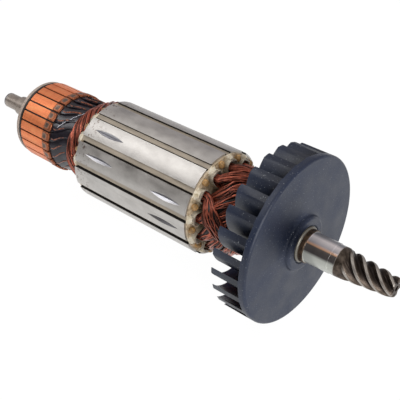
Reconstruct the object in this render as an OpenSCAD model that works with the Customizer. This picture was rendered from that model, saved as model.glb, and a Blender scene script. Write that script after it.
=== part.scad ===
// Armature of a universal motor: shaft with an integral tapered helical pinion, moulded fan,
// wound laminated core and moulded commutator. The shaft's axis is X, the pinion points along +X,
// and the origin is the middle of the drive-end bearing seat.

/* [Shaft] */
// Diameter of the drive-end bearing seat
drive_seat_d = 12; // [11:0.5:13]
// Width of the drive-end bearing and of its seat
bearing_w = 10; // [8:0.5:11]
// Length of the plain shaft in front of the fan's bush: the seat, then a relieved stretch
plain_len = 12.6; // [11.5:0.1:16]
// Step from the bearing seat up to the shaft's body, on the radius
body_step = 0.2; // [0.1:0.05:0.3]
// Diameter of the commutator-end bearing seat
comm_seat_d = 7; // [6:0.5:8]
// Length of the commutator-end bearing seat
comm_seat_len = 9; // [7:0.5:12]
// Diameter of the shaft under and behind the commutator
neck_d = 9; // [8.5:0.25:10]
// Bare length of the neck between the commutator and its bearing seat
neck_len = 18.1; // [12:0.1:24]
// Chamfer at the shaft's turned edges
shaft_chamfer = 0.5; // [0.2:0.1:0.8]

/* [Pinion] */
// Number of helical teeth
pinion_teeth = 5; // [4:1:7]
// Length of the toothed stretch
pinion_len = 22.4; // [18:0.1:28]
// Outer diameter at the tip, where the pinion has tapered down
pinion_tip_d = 7.6; // [7:0.1:9]
// Advance of one tooth over a full turn
pinion_lead = 26.5; // [22:0.5:40]
// Depth of the tooth spaces at the big end
tooth_depth = 1.8; // [1.2:0.1:2]
// Length over which each tooth space runs out into the round shaft
run_out_len = 5.5; // [3:0.5:8]
// Diameter of the centre hole in the tip
centre_hole_d = 1.9; // [1.2:0.1:2.4]
// Depth of the centre hole
centre_hole_depth = 3; // [2:0.5:5]

/* [Fan] */
// Outer diameter of the fan
fan_d = 68; // [64:1:74]
// Thickness of the fan's disc
disc_t = 2.9; // [2:0.1:4]
// Number of blades
blade_count = 26; // [18:1:28]
// Height of the blades behind the disc
blade_h = 12.1; // [8:0.1:14]
// Thickness of a blade
blade_t = 1.3; // [0.8:0.1:1.8]
// Radius of a blade's curve
blade_curve_r = 13.7; // [12:0.1:16]
// Angle of a blade to the radius at its outer edge
blade_angle = 60; // [50:1:65]
// Height of the boss on the fan's face
boss_h = 2.4; // [1:0.1:3]
// Diameter of the boss's flat face
boss_d = 22; // [19:0.5:26]
// Radius of the hollow fillet round the boss
boss_fillet = 1.6; // [0.5:0.1:2.2]
// Length of the hub behind the disc
hub_len = 10; // [6:0.5:12]
// Outer diameter of the steel bush that the fan is moulded on
bush_d = 14.5; // [14:0.1:16]
// Length of the bush's narrow nose, which meets the bearing
nose_len = 2; // [1:0.1:4]
// Diameter of the nose
nose_d = 13.2; // [13.1:0.1:13.8]
// Distance that the bush stands out of the boss
bush_proud = 0.5; // [0.2:0.1:1]

/* [Core] */
// Diameter of the laminated core
core_d = 44; // [42:0.5:46]
// Length of the laminated core
core_len = 61; // [45:1:80]
// Number of slots
slot_count = 12; // [12:1:12]
// Width of a tooth's parallel body
tooth_w = 3.2; // [2.8:0.1:3.6]
// Radius at which the slot's round bottom is centred
slot_bottom_r = 12.3; // [12.1:0.1:12.6]
// Radius at which the slot's round top is centred
slot_top_r = 17.4; // [17:0.1:17.6]
// Width of the slot's opening
slot_opening = 2.84; // [2.4:0.02:3.2]
// Angle of the first tooth about the shaft
index_angle = 5.3; // [0:0.1:30]
// Distance from the fan's face to the core
fan_to_core = 38.3; // [36:0.1:44]
// Distance from the core to the commutator's bars
core_to_bars = 21.7; // [20:0.1:26]
// Wall of the insulating sleeve on the shaft
sleeve_wall = 1.3; // [1:0.1:1.6]

/* [Balancing cuts] */
// Length of a milled balancing cut
cut_len = 16.5; // [10:0.5:20]
// Depth of a balancing cut
cut_depth = 0.9; // [0.5:0.1:1.2]
// Width of a balancing cut at its middle
cut_w = 2.2; // [1.6:0.1:3]

/* [Insulation] */
// Thickness of the slot liner
liner_t = 0.25; // [0.2:0.05:0.3]
// Length of the liners and wedges that shows past each end of the core
cuff_len = 3; // [2:0.1:4]
// Thickness of the end insulators' plates
end_plate_t = 1.2; // [1:0.1:1.6]
// Diameter of the end insulators' plates
plate_d = 42.8; // [42:0.1:43]
// Thickness of the arches over the slots
arch_t = 1; // [0.8:0.1:1]
// Diameter of the rounded posts on the teeth
post_d = 3; // [2.6:0.1:3.1]
// Depth of the wedge below the slot's top
wedge_t = 0.85; // [0.6:0.05:1.1]
// Width of the wedge's tongue, which shows in the slot's opening
tongue_w = 2; // [1.6:0.1:2.2]
// Diameter over the wedges' tongues
tongue_tip_d = 42.4; // [41.6:0.1:43]

/* [Winding] */
// Number of slots that a coil spans
coil_span = 5; // [4:1:5]
// Width of the outer coil side in its slot
leg_out_w = 3.8; // [3.4:0.1:4]
// Depth of the outer coil side in its slot
leg_out_t = 3.4; // [3:0.1:3.6]
// Width of the inner coil side in its slot
leg_in_w = 2.9; // [2.6:0.1:3]
// Depth of the inner coil side in its slot
leg_in_t = 3; // [2.8:0.1:3.1]
// Radius of the outer coil side's place in the slot
leg_out_r = 16.5; // [16.3:0.1:16.7]
// Radius of the inner coil side's place in the slot
leg_in_r = 12.9; // [12.9:0.1:13]
// Overhang of the winding towards the fan
fan_overhang = 14; // [12:0.5:16]
// Overhang of the winding towards the commutator
comm_overhang = 8.5; // [8:0.25:9]
// Least thickness of a bundle in the winding's head
bundle_t = 2; // [1.8:0.1:2]

/* [Commutator] */
// Number of bars
bar_count = 24; // [24:1:24]
// Diameter of the brush track
track_d = 35.2; // [34:0.2:36]
// Length of the bars
bar_len = 19.1; // [16:0.1:22]
// Gap between neighbouring bars
bar_gap = 0.6; // [0.4:0.1:0.8]
// Depth to which the gap's insulation is undercut
undercut = 0.8; // [0.4:0.1:1]
// Length of the hooked zone at the inner end of the bars
hook_zone = 6.2; // [5:0.1:8]
// Width of a hook
hook_w = 2.8; // [2.6:0.1:3]
// Thickness of a hook
hook_t = 1; // [0.8:0.05:1.1]
// Height of a hook above the brush track
hook_proud = 0.4; // [0.1:0.1:0.6]
// Thickness of the lead under a hook
lead_t = 1.1; // [0.9:0.05:1.2]
// Width of a lead
lead_w = 1.6; // [1.3:0.1:1.6]
// Depth to which the leads slope down between the hooks and the winding
lead_drop = 2.2; // [1.6:0.1:2.3]
// Thickness of the resin end ring
ring_t = 2.6; // [2:0.1:3.4]
// Diameter of the resin end ring
ring_d = 34.3; // [33:0.1:34.8]
// Width of the groove between the end ring and the bars
ring_groove = 0.6; // [0.4:0.1:1]

/* [Hidden] */
$fn = 96;
// Small overlap that lets a cutting shape pass a face
over = 1;

// Stations along the shaft
shoulder_x = -bearing_w / 2;
seat_end_x = shoulder_x + plain_len;
tip_x = seat_end_x + pinion_len;
bush_face_x = shoulder_x - nose_len;
boss_face_x = bush_face_x - bush_proud;
fan_face_x = boss_face_x - boss_h;
disc_back_x = fan_face_x - disc_t;
blade_end_x = disc_back_x - blade_h;
hub_end_x = disc_back_x - hub_len;
bush_end_x = hub_end_x - 1;
core_x1 = fan_face_x - fan_to_core;
core_x0 = core_x1 - core_len;
bar_x1 = core_x0 - core_to_bars;
bar_x0 = bar_x1 - bar_len;
ring_x1 = bar_x0 - ring_groove;
ring_x0 = ring_x1 - ring_t;
neck_x0 = ring_x0 - neck_len;
stub_end_x = neck_x0 - comm_seat_len;
// The insulating sleeve runs from the fan's bush to the commutator's resin
sleeve_gap = 0.5;
sleeve_x1 = bush_end_x - sleeve_gap;
hub_nose = 1.6;
sleeve_x0 = bar_x1 + hub_nose;
neck_x1 = sleeve_x0;

// Radii
seat_r = drive_seat_d / 2;
relief_r = seat_r - 0.2;
shaft_r = seat_r + body_step;
sleeve_r = shaft_r + sleeve_wall;
core_r = core_d / 2;
fan_r = fan_d / 2;
bush_r = bush_d / 2;
plate_r = plate_d / 2;
post_place_r = plate_r - 1.9;
arch_half = 9;
arch_step = 0.05;
track_r = track_d / 2;
slot_pitch = 360 / slot_count;
bar_pitch = 360 / bar_count;

// Turns a flat outline, drawn in the YZ plane, into a bar from x0 to x1
module along_x(x0, x1) {
    translate([x0, 0, 0])
        rotate([90, 0, 90])
            linear_extrude(height = x1 - x0)
                children();
}

// A round bar or bore about the shaft's axis
module round_x(x0, x1, r) {
    along_x(x0, x1) circle(r);
}

// A turned shape: the outline gives radius and station
module turned(points) {
    rotate([90, 0, 90])
        rotate_extrude()
            polygon(points);
}

// Smooth step from 0 to 1 as v goes from a to b
function ease(a, b, v) = let (u = min(1, max(0, (v - a) / (b - a)))) u * u * (3 - 2 * u);

// A place given by station, radius and angle about the shaft
function polar_x(x, r, a) = [x, r * cos(a), r * sin(a)];

// Closes a grid of rings, each of n points, with a flat face at both ends
function tube_faces(rings, n) = concat(
    [[for (j = [0:n - 1]) j]],
    [for (i = [0:rings - 2], j = [0:n - 1], half = [0, 1])
        let (k = (j + 1) % n, a = i * n, b = (i + 1) * n)
            half == 0 ? [a + j, b + j, b + k] : [a + j, b + k, a + k]],
    [[for (j = [n - 1:-1:0]) (rings - 1) * n + j]]);

// Closes a grid of rings into an endless loop
function loop_faces(rings, n) = [
    for (i = [0:rings - 1], j = [0:n - 1], half = [0, 1])
        let (k = (j + 1) % n, a = i * n, b = ((i + 1) % rings) * n)
            half == 0 ? [a + j, b + j, b + k] : [a + j, b + k, a + k]];

// Pinion: the tooth spaces deepen from nothing, the whole tapers to the tip
pinion_steps = 28;
tooth_points = 12;
land_share = 0.11;
root_share = 0.36;
tip_depth_share = 0.75;
tooth_step = 0.03;
crest_x = 14.7;
crest_angle = 137.7;

function pinion_r(x) = relief_r - tooth_step
    + (pinion_tip_d / 2 - relief_r) * max(0, x - seat_end_x - run_out_len / 4) / (pinion_len - run_out_len / 4);
function space_depth(x) = tooth_depth * ease(0, run_out_len, x - seat_end_x)
    * (1 + (tip_depth_share - 1) * max(0, x - seat_end_x) / pinion_len);
function tooth_form(share) = ease(land_share, root_share, min(share, 1 - share));
function pinion_point(x, j) = let (share = j / tooth_points - floor(j / tooth_points))
    polar_x(x, pinion_r(x) - space_depth(x) * tooth_form(share),
        crest_angle + 360 * (x - crest_x) / pinion_lead + 360 * j / (tooth_points * pinion_teeth));

module pinion() {
    n = tooth_points * pinion_teeth;
    xs = [seat_end_x - over / 2, for (i = [1:pinion_steps]) seat_end_x + pinion_len * i / pinion_steps];
    difference() {
        polyhedron([for (x = xs, j = [0:n - 1]) pinion_point(x, j)], tube_faces(len(xs), n));
        round_x(tip_x - centre_hole_depth, tip_x + over, centre_hole_d / 2);
    }
}

module shaft() {
    color("silver") {
        turned([[0, seat_end_x], [relief_r, seat_end_x], [relief_r, -shoulder_x],
            [seat_r, -shoulder_x], [seat_r, shoulder_x], [shaft_r, shoulder_x],
            [shaft_r, neck_x1 + shaft_chamfer], [shaft_r - shaft_chamfer, neck_x1], [neck_d / 2, neck_x1],
            [neck_d / 2, neck_x0 + shaft_chamfer], [neck_d / 2 - shaft_chamfer, neck_x0],
            [comm_seat_d / 2, neck_x0], [comm_seat_d / 2, stub_end_x + shaft_chamfer],
            [comm_seat_d / 2 - shaft_chamfer, stub_end_x], [0, stub_end_x]]);
        pinion();
    }
}

module shaft_sleeve() {
    color("tan")
        along_x(sleeve_x0, sleeve_x1)
            difference() {
                circle(sleeve_r);
                circle(shaft_r);
            }
}

// Steel bush, pressed on the shaft against the bearing
module fan_bush() {
    color("lightgray")
        turned([[shaft_r, bush_end_x], [bush_r, bush_end_x], [bush_r, bush_face_x - shaft_chamfer],
            [bush_r - shaft_chamfer, bush_face_x], [nose_d / 2, bush_face_x],
            [nose_d / 2, shoulder_x], [shaft_r, shoulder_x]]);
}

// Fan: disc, boss with a hollow fillet, hub and blades
rim_round = 0.6;
seat_gap = 0.35;
fillet_steps = 5;
hub_taper = 1;
blade_index = -1.2;
blade_step = 0.05;

// One blade, an arc that leaves the rim at blade_angle and ends along the radius
module blade_outline() {
    centre = [fan_r - blade_curve_r * sin(blade_angle), -blade_curve_r * cos(blade_angle) + blade_t / 2];
    reach = blade_curve_r + blade_t;
    intersection() {
        translate(centre)
            difference() {
                circle(blade_curve_r + blade_t / 2);
                circle(blade_curve_r - blade_t / 2);
            }
        translate(centre)
            polygon([[0, 0], [0, reach + over], [reach + over, reach + over], [reach + over, 0]]);
        circle(fan_r - blade_step);
    }
}

module fan_body() {
    fillet = [for (i = [0:fillet_steps])
        let (a = 90 * i / fillet_steps)
            [boss_d / 2 + boss_fillet * (1 - cos(90 - a)), fan_face_x + boss_fillet * (1 - sin(90 - a))]];
    turned(concat(
        [[bush_r, hub_end_x], [boss_d / 2 - hub_taper, hub_end_x], [boss_d / 2, disc_back_x],
            [fan_r, disc_back_x], [fan_r, fan_face_x - rim_round], [fan_r - rim_round, fan_face_x]],
        fillet,
        [[boss_d / 2, boss_face_x - rim_round], [boss_d / 2 - rim_round, boss_face_x],
            [bush_r + seat_gap, boss_face_x], [bush_r + seat_gap, boss_face_x - rim_round],
            [bush_r, boss_face_x - rim_round]]));
}

module fan() {
    color("dimgray") {
        fan_body();
        along_x(blade_end_x, disc_back_x + disc_t / 4)
            for (i = [0:blade_count - 1])
                rotate(360 * i / blade_count + blade_index)
                    blade_outline();
    }
}

// Slot: a narrow round bottom and a wide round top, joined by sides that run along the teeth
slot_arc_steps = 12;

function slot_r(c) = c * sin(slot_pitch / 2) - tooth_w / 2;

function slot_arc(c, inset, a0, a1) = [for (i = [0:slot_arc_steps])
    let (a = a0 + (a1 - a0) * i / slot_arc_steps)
        [c, 0] + (slot_r(c) - inset) * [cos(a), sin(a)]];

module slot_outline(inset) {
    tangent = 90 + slot_pitch / 2;
    polygon(concat(slot_arc(slot_bottom_r, inset, tangent, 360 - tangent),
        slot_arc(slot_top_r, inset, -tangent, tangent)));
}

// Repeats an outline in every slot
module in_slots() {
    for (i = [0:slot_count - 1])
        rotate(index_angle + slot_pitch * (i + 0.5))
            children();
}

module opening_outline(tip_r) {
    translate([slot_top_r, -slot_opening / 2]) square([tip_r - slot_top_r, slot_opening]);
}

// A milled cut: the edge of a wheel that touches the core at station x and angle a
module balancing_cut(x, a) {
    wheel_r = cut_len * cut_len / (8 * cut_depth);
    rim = cut_depth * 2;
    rotate([a - 90, 0, 0])
        translate([x, 0, core_r - cut_depth + wheel_r])
            rotate([90, 0, 0])
                rotate_extrude($fn = 180)
                    polygon([[wheel_r - rim, -cut_w], [wheel_r, 0], [wheel_r - rim, cut_w]]);
}

// Each cut: its distance from the core's commutator end, its tooth and its angle off the tooth's middle
cuts = [[12.9, 4, 0.9], [13.1, 5, -0.5], [49.7, 5, 3.2], [49.6, 6, 0.2]];

module core_stack() {
    color("silver")
        difference() {
            along_x(core_x0, core_x1)
                difference() {
                    circle(core_r);
                    circle(sleeve_r);
                    in_slots() {
                        slot_outline(0);
                        opening_outline(core_r + over);
                    }
                }
            for (c = cuts)
                balancing_cut(core_x0 + c[0], index_angle + slot_pitch * c[1] + c[2]);
        }
}

// End insulator: a plate with a rounded post on each tooth and an arch over each slot
module slots_cut(x0, x1) {
    along_x(x0, x1) in_slots() slot_outline(0);
}

// Post: a short round bar with a domed end
module post() {
    r = post_d / 2;
    translate([0, 0, post_place_r])
        rotate([90, 0, 90])
            rotate_extrude($fn = 24)
                polygon([[0, 0.1], [r, 0.1],
                    for (a = [0:15:90]) [r * cos(a), cuff_len - r + r * sin(a)]]);
}

// Arch: part of a ring over a slot
module arch_outline() {
    intersection() {
        difference() {
            circle(plate_r - arch_step);
            circle(plate_r - arch_t);
        }
        polygon([[0, 0], plate_r * 2 * [cos(arch_half), -sin(arch_half)],
            plate_r * 2 * [cos(arch_half), sin(arch_half)]]);
    }
}

// The insulator as it sits on a core that ends at x = 0 and points along +X
module end_insulator() {
    along_x(0, end_plate_t)
        difference() {
            circle(plate_r);
            circle(sleeve_r);
            in_slots() slot_outline(0);
        }
    along_x(end_plate_t / 2, cuff_len)
        in_slots() arch_outline();
    for (i = [0:slot_count - 1])
        rotate([index_angle + slot_pitch * i - 90, 0, 0]) post();
}

module fan_end_insulator() {
    color("wheat")
        translate([core_x1, 0, 0])
            end_insulator();
}

module commutator_end_insulator() {
    color("wheat")
        translate([core_x0, 0, 0])
            mirror([1, 0, 0])
                end_insulator();
}

module slot_liners() {
    color("beige")
        difference() {
            slots_cut(core_x0 - cuff_len, core_x1 + cuff_len);
            along_x(core_x0 - cuff_len - over, core_x1 + cuff_len + over)
                in_slots() {
                    slot_outline(liner_t);
                    opening_outline(core_r);
                }
        }
}

// Wedge: a strip under the tooth tips, with a tongue that hugs one side of the slot's opening
slot_top = slot_top_r + slot_r(slot_top_r) - liner_t;

module slot_wedges() {
    color("beige") {
        along_x(core_x0 - cuff_len, core_x1 + cuff_len)
            in_slots()
                intersection() {
                    slot_outline(liner_t);
                    translate([slot_top - wedge_t, -core_r]) square([wedge_t + over, core_d]);
                }
        along_x(core_x0, core_x1)
            in_slots()
                translate([slot_top - wedge_t / 2, -slot_opening / 2])
                    square([tongue_tip_d / 2 - slot_top + wedge_t / 2, tongue_w]);
    }
}

// Coil: two straight sides in their slots and a basket-woven head at each end
coil_sides = 8;
head_steps = 13;
spread = 0.43;
blend = 0.14;
span_angle = -round(coil_span) * slot_pitch;
leg_mid_r = (leg_out_r + leg_in_r) / 2;
leg_half_r = (leg_out_r - leg_in_r) / 2;
head_gap = 0.8;
head_x = cuff_len + head_gap;

// Each head: overhang, bulge over the slots and drop towards the shaft
fan_head = [fan_overhang, fan_overhang * 0.107, fan_overhang * 0.33];
comm_head = [comm_overhang, comm_overhang * 0.094, comm_overhang * 0.177];

function head_r(t, h) = leg_mid_r + leg_half_r * cos(180 * t)
    + h[1] * sin(360 * t) - h[2] * pow(sin(180 * t), 2);
function head_dr(t, h) = -PI * leg_half_r * sin(180 * t) + 2 * PI * h[1] * cos(360 * t)
    - PI * h[2] * sin(360 * t);
function head_dx(t, h) = PI * h[0] * cos(180 * t);

// Room across the path between a bundle and its neighbour, one slot further on
function head_room(t, h) = let (
    rise = norm([head_dr(t, h), head_dx(t, h)]),
    run = head_r(t, h) * abs(span_angle) * PI / 180)
    head_r(t, h) * slot_pitch * PI / 180 * rise / norm([rise, run]);

// Half width and half thickness of the bundle at t
function bundle_size(t, h) = let (
    f = ease(0, blend, min(t, 1 - t)),
    leg = t < 0.5 ? [leg_out_w, leg_out_t] / 2 : [leg_in_w, leg_in_t] / 2,
    a = spread * head_room(t, h),
    b = bundle_t / 2)
    leg + f * ([a, b] - leg);

// Place, outward normal and size of the bundle at t; way is 1 towards the pinion
function head_ring(t, h, end_x, way) = let (
    slope = [-head_dr(t, h), head_dx(t, h)],
    n = slope / norm(slope),
    x = end_x + way * (head_x + h[0] * sin(180 * t)))
    [x, head_r(t, h), span_angle * t, way * n[0], n[1], bundle_size(t, h)];

// The coil side where it leaves the slot
function leg_ring(t, h, end_x, way) = let (p = head_ring(t, h, end_x, way))
    [end_x + way * cuff_len, p[1], p[2], 0, 1 - 2 * t, p[5]];

function half_path(h, end_x, way) = concat(
    [leg_ring(0, h, end_x, way)],
    [for (i = [0:head_steps]) head_ring(i / head_steps, h, end_x, way)],
    [leg_ring(1, h, end_x, way)]);

function turned_back(list) = [for (i = [len(list) - 1:-1:0]) list[i]];

coil_path = concat(half_path(fan_head, core_x1, 1), turned_back(half_path(comm_head, core_x0, -1)));

// Ring of points round place i of the path
function coil_ring(i) = let (
    n = len(coil_path),
    p = coil_path[i],
    before = coil_path[(i + n - 1) % n],
    after = coil_path[(i + 1) % n],
    centre = polar_x(p[0], p[1], p[2]),
    t1 = centre - polar_x(before[0], before[1], before[2]),
    t2 = polar_x(after[0], after[1], after[2]) - centre,
    tangent = t1 / norm(t1) + t2 / norm(t2),
    normal = [p[3], p[4] * cos(p[2]), p[4] * sin(p[2])],
    across = cross(tangent, normal) / norm(cross(tangent, normal)),
    up = cross(across, tangent) / norm(tangent))
    [for (j = [0:coil_sides - 1])
        let (a = 360 * (j + 0.5) / coil_sides)
            centre + across * p[5][0] * cos(a) + up * p[5][1] * sin(a)];

module coil(i) {
    color("sienna")
        rotate([index_angle + slot_pitch * (i - 0.5), 0, 0])
            polyhedron([for (k = [0:len(coil_path) - 1]) each coil_ring(k)],
                loop_faces(len(coil_path), coil_sides));
}

// Commutator bar: a wedge with a dovetail foot, cut down at its inner end for the hooked tang
foot_r = 10;
foot_t = 1.6;
body_r = 12.4;
hub_step = 0.4;
foot_half = 0.9;
waist_half = 0.55;
hook_over = 0.8;
hook_root_r = 13.6;
hook_root_w = 1;
lead_side = 0.1;
hook_top_r = track_r + hook_proud;
hook_under_r = hook_top_r - hook_t;
shelf_r = hook_under_r - lead_t;
hook_tip_gap = 0.4;

module bar_outline() {
    difference() {
        polygon([[0, 0], (track_r + over) * [cos(bar_pitch / 2), -sin(bar_pitch / 2)],
            (track_r + over) * [cos(bar_pitch / 2), sin(bar_pitch / 2)]]);
        circle(body_r);
        for (s = [-1, 1])
            rotate(s * bar_pitch / 2)
                translate([0, -bar_gap / 2]) square([track_r + 2 * over, bar_gap]);
    }
    polygon([[foot_r, -foot_half], [foot_r + foot_t * 0.6, -foot_half], [foot_r + foot_t, -waist_half],
        [body_r + 0.2, -waist_half], [body_r + 0.2, waist_half], [foot_r + foot_t, waist_half],
        [foot_r + foot_t * 0.6, foot_half], [foot_r, foot_half]]);
}

module bar_solid() {
    difference() {
        along_x(bar_x0, bar_x1)
            intersection() {
                bar_outline();
                circle(track_r);
            }
        translate([bar_x1 - hook_zone, shelf_r, -track_r]) cube([hook_zone + over, track_r, track_d]);
    }
}

// Tang: its narrow root rises from the bar's end face, and its head folds over the lead
module hook() {
    tip_x0 = bar_x1 - hook_zone + hook_tip_gap;
    translate([0, 0, -hook_w / 2])
        linear_extrude(height = hook_root_w)
            polygon([[bar_x1, hook_root_r], [bar_x1 + hook_over / 2, hook_root_r],
                [bar_x1 + hook_over, hook_root_r + 0.5], [bar_x1 + hook_over, hook_under_r],
                [bar_x1 - over, hook_under_r], [bar_x1 - over, shelf_r - 0.5], [bar_x1, shelf_r - 0.5]]);
    translate([0, 0, -hook_w / 2])
        linear_extrude(height = hook_w)
            polygon([[bar_x1 + hook_over, hook_under_r], [bar_x1 + hook_over, hook_top_r - 0.5],
                [bar_x1 + hook_over / 2, hook_top_r], [tip_x0 + 0.6, hook_top_r],
                [tip_x0, hook_top_r - 0.4], [tip_x0, hook_under_r]]);
}

module commutator_bar(i) {
    color("chocolate")
        rotate([index_angle + bar_pitch * (i - 0.5), 0, 0])
            union() {
                bar_solid();
                hook();
            }
}

// Resin body: it fills the space inside and between the bars, with an end ring
module commutator_hub() {
    separator_r = track_r - undercut;
    groove_r = separator_r - 0.6;
    nose_r = body_r - hub_step;
    color("saddlebrown")
        difference() {
            turned([[neck_d / 2, ring_x0], [ring_d / 2, ring_x0], [ring_d / 2, ring_x1],
                [groove_r, ring_x1], [groove_r, bar_x0], [separator_r, bar_x0],
                [separator_r, bar_x1], [nose_r, bar_x1], [nose_r, sleeve_x0], [neck_d / 2, sleeve_x0]]);
            along_x(bar_x0, bar_x1)
                for (i = [1:bar_count])
                    rotate(index_angle + bar_pitch * (i - 0.5))
                        bar_outline();
        }
}

// Lead: lies under its hook beside the root, then slopes down to the winding's head
lead_off = hook_w / 2 - lead_side - lead_w / 2;
lead_mid_r = shelf_r + lead_t / 2;
lead_sweep = -10;
lead_gap = 0.4;
lead_bend_x = bar_x1 + hook_over + 0.2;
lead_tip_x = core_x0 - head_x - comm_overhang - bundle_t / 2 - lead_gap;

// A place on the sloping stretch: share of the way, share of the drop and width
function lead_place(way, drop, w) = [lead_bend_x + (lead_tip_x - lead_bend_x) * way,
    lead_mid_r - lead_drop * drop, lead_sweep * way, w];

// Each place on the lead: station, radius, angle and width
lead_path = [[bar_x1 - hook_zone + hook_tip_gap, lead_mid_r, 0, lead_w],
    [lead_bend_x, lead_mid_r, 0, lead_w],
    lead_place(0.25, 0.22, lead_w * 1.8),
    lead_place(0.65, 0.72, lead_w * 2),
    lead_place(1, 1, lead_w * 1.6)];

function lead_ring(i) = let (p = lead_path[i])
    [for (c = [[-1, -1], [1, -1], [1, 1], [-1, 1]])
        let (q = [p[1] + c[1] * lead_t / 2, lead_off + c[0] * p[3] / 2])
            [p[0], q[0] * cos(p[2]) - q[1] * sin(p[2]), q[0] * sin(p[2]) + q[1] * cos(p[2])]];

module lead_wires() {
    color("darkslategray")
        for (i = [1:bar_count])
            rotate([index_angle + bar_pitch * (i - 0.5), 0, 0])
                polyhedron([for (k = [0:len(lead_path) - 1]) each lead_ring(k)],
                    tube_faces(len(lead_path), 4));
}

shaft();
shaft_sleeve();
core_stack();
fan_end_insulator();
commutator_end_insulator();
slot_liners();
slot_wedges();
lead_wires();
commutator_hub();
fan();
fan_bush();
for (i = [1:slot_count])
    coil(i);
for (i = [1:bar_count])
    commutator_bar(i);
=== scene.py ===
"""Dressed model of a motor armature: shaft with helical pinion, fan, wound core and commutator.

Lengths are millimetres and angles are degrees, unless a line says otherwise. The shaft's axis is X, the
pinion points along +X, and angles round the shaft count from +Y towards +Z.
"""
from functools import partialmethod

import bpy
import numpy as np
from bpy.props import FloatProperty, FloatVectorProperty, IntProperty, PointerProperty
from mathutils import Matrix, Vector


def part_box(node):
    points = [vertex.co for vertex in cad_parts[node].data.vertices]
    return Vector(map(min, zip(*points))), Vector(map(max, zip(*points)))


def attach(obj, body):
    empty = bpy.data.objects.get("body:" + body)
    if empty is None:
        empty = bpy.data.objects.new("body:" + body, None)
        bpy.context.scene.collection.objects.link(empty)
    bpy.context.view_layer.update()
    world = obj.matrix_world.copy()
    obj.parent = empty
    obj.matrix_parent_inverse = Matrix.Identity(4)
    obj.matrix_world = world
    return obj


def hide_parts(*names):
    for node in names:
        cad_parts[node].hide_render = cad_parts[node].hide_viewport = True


bl_info = {
    "name": "Motor Armature",
    "version": (1, 0, 0),
    "blender": (4, 5, 0),
    "location": "View3D > Sidebar > Armature",
    "description": "Builds the dressed pieces of a motor armature round its solid model",
    "category": "Object",
}

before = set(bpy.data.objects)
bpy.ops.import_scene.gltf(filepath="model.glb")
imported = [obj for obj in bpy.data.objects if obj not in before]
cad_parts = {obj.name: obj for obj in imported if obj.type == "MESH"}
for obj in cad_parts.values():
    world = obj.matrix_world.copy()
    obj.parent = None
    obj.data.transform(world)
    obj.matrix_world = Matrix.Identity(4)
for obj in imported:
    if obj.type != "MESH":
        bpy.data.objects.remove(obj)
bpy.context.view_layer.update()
MM = 0.001


def span(node, axis=0):
    """Lowest and highest place of a solid along an axis."""
    low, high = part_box(node)
    return float(low[axis]) / MM, float(high[axis]) / MM


SHAFT_X0, SHAFT_X1 = span("shaft")
CORE_X0, CORE_X1 = span("core_stack")
FAN_X0, FAN_X1 = span("fan")
BUSH_X0, BUSH_X1 = span("fan_bush")
BAR_X0, BAR_X1 = span("commutator_bar_1")
HUB_X0 = span("commutator_hub")[0]
FAN_R = span("fan", 1)[1]
BUSH_R = span("fan_bush", 1)[1]
# Station where the hooks end and the leads come out
HOOK_X1 = BAR_X1 - 0.8
# Angle of the first tooth of the core, and of the joint before the first bar
INDEX = 5.3
SLOT_COUNT = 12
BAR_COUNT = 24
SLOT_PITCH = 360.0 / SLOT_COUNT
BAR_PITCH = 360.0 / BAR_COUNT
CORE_R = 22.0
TRACK_R = 17.64


# Small tools for surfaces

def rad(degrees):
    """Radians as a plain number or an array."""
    return np.radians(degrees) if np.ndim(degrees) else float(np.radians(degrees))


def ease(a, b, v):
    """Smooth step from 0 to 1 as v goes from a to b."""
    u = np.clip((v - a) / (b - a), 0, 1)
    return u * u * (3 - 2 * u)


def at(x, r, turn):
    """Points at stations x, radii r and angles turn in radians."""
    return np.stack(np.broadcast_arrays(x, r * np.cos(turn), r * np.sin(turn)), axis=-1)


def around(profile, columns):
    """Turned surface: each (x, radius) of the profile is carried round the shaft's axis."""
    return at(profile[:, :1], profile[:, 1:], rad(360.0 * np.arange(columns) / columns))


def spun(points, turn):
    """Points turned round the shaft by an angle in radians."""
    c, s = np.cos(turn), np.sin(turn)
    return points @ np.array([[1, 0, 0], [0, c, s], [0, -s, c]])


def rounded(corners, steps=4):
    """Profile with its corners eased: each corner (x, r, size) becomes a curve between its two sides."""
    points = np.array([c[:2] for c in corners], dtype=float)
    t = np.linspace(0, 1, steps + 1)[:, None]
    out = [points[0]]
    for before, here, after, corner in zip(points, points[1:], points[2:], corners[1:]):
        if corner[2] <= 0:
            out.append(here)
            continue
        a, b = (here + side / np.linalg.norm(side) * min(corner[2], 0.45 * np.linalg.norm(side))
                for side in (before - here, after - here))
        out += list((1 - t) ** 2 * a + 2 * t * (1 - t) * here + t ** 2 * b)
    return np.array([*out, points[-1]])


def crosswise(path, up, closed=False):
    """Unit vectors along a path: across is the tangent times up, upright is across times the tangent."""
    if closed:
        tangent = np.roll(path, -1, axis=0) - np.roll(path, 1, axis=0)
    else:
        tangent = np.gradient(path, axis=0)
    tangent /= np.linalg.norm(tangent, axis=1, keepdims=True)
    across = np.cross(tangent, up)
    across /= np.linalg.norm(across, axis=1, keepdims=True)
    return across, np.cross(across, tangent)


def tube(path, half_width, half_height, up, sides, power=2.0, closed=False):
    """Carries a rounded section along a path; up gives the section's upright at each place.

    The section is a superellipse: power 2 is an ellipse and a larger power is squarer.
    """
    across, upright = crosswise(path, up, closed)
    angle = 2 * np.pi * (np.arange(sides) + 0.5) / sides
    c, s = (np.sign(wave) * np.abs(wave) ** (2 / power) for wave in (np.cos(angle), np.sin(angle)))
    w, h = (np.broadcast_to(half, len(path))[:, None, None] * wave[:, None]
            for half, wave in ((half_width, c), (half_height, s)))
    return path[:, None, :] + w * across[:, None, :] + h * upright[:, None, :]


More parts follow.
